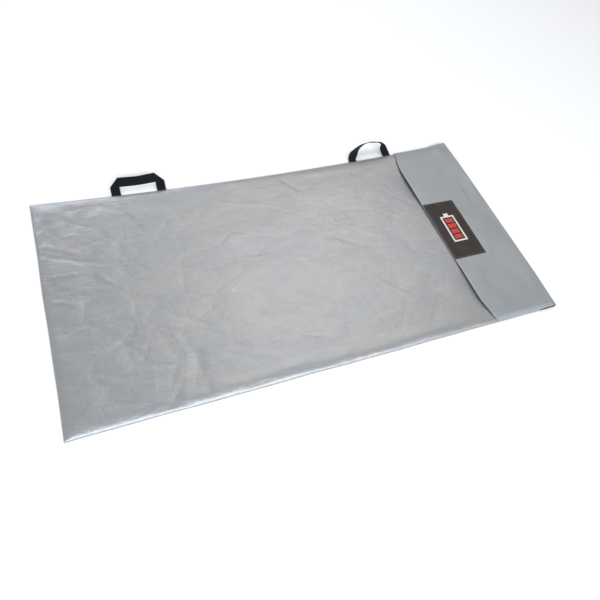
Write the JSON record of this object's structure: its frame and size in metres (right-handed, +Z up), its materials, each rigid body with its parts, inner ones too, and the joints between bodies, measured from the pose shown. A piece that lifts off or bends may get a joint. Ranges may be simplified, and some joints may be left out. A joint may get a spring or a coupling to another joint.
{
  "type": "battery safety bag",
  "caption": "Large flat lined pouch for charging and storing lithium batteries, with a fold-over hook-and-loop flap and two webbing carry handles along one long edge.",
  "frame": {"origin": "middle of the back panel's resting face, on the surface that the bag lies on", "axes": "+X along the bag towards the folded flap, +Y across it towards the carry handles, +Z up out of the front panel"},
  "size_m": [1.3, 0.7046, 0.0402],
  "materials": {
    "shell_cloth": "crinkled semi-gloss silver-coated woven cloth",
    "flap_cloth": "smooth satin silver-grey coated cloth",
    "lining_cloth": "matt woven glass-fibre felt",
    "edge_tape": "satin folded edge tape",
    "webbing": "matt black ribbed webbing",
    "hook_and_loop": "dark grey hook-and-loop pile",
    "label": "matt dark brown moulded label",
    "label_print": "satin printed sign",
    "thread": "twisted polyester thread"
  },
  "bodies": {
    "pouch": {"back_panel": "shell_cloth", "back_lining": "lining_cloth", "front_panel": "shell_cloth", "front_near_margin": "shell_cloth", "front_far_margin": "shell_cloth", "front_end_margin": "shell_cloth", "front_lining": "lining_cloth", "near_seam_binding": "edge_tape", "far_seam_binding": "edge_tape", "end_seam_binding": "edge_tape", "near_seam_thread": "thread", "far_seam_thread": "thread", "end_seam_thread": "thread", "mouth_binding": "edge_tape", "loop_strip": "hook_and_loop", "loop_strip_thread": "thread", "left_handle_ends": "webbing", "right_handle_ends": "webbing", "handle_bartacks": "thread"},
    "flap_fold": {"fold_panel": "flap_cloth"},
    "flap": {"flap_panel": "flap_cloth", "flap_lining": "lining_cloth", "flap_edge_hem": "flap_cloth", "flap_near_binding": "edge_tape", "flap_far_binding": "edge_tape", "hook_strip": "hook_and_loop", "flap_thread": "thread", "label_patch": "label", "label_sign": "label_print", "label_thread": "thread"},
    "left_handle": {"left_handle_webbing": "webbing"},
    "right_handle": {"right_handle_webbing": "webbing"}
  },
  "joints": [
    {"name": "flap_lower_bend", "type": "hinge", "parent": "pouch", "child": "flap_fold", "pos_m": [0.65, 0, 0.0015], "axis": [0, 1, 0], "range_deg": [0, 90]},
    {"name": "flap_upper_bend", "type": "hinge", "parent": "flap_fold", "child": "flap", "pos_m": [0.65, 0, 0.0183], "axis": [0, 1, 0], "range_deg": [0, 90]},
    {"name": "left_handle_swing", "type": "hinge", "parent": "pouch", "child": "left_handle", "pos_m": [-0.368, 0.32977, 0.0024], "axis": [1, 0, 0], "range_deg": [-37, 100]},
    {"name": "right_handle_swing", "type": "hinge", "parent": "pouch", "child": "right_handle", "pos_m": [0.361, 0.32948, 0.0024], "axis": [1, 0, 0], "range_deg": [-23, 78]}
  ],
  "couplings": [
    {"joint": "flap_lower_bend", "follows": "flap_upper_bend", "ratio": 1}
  ]
}
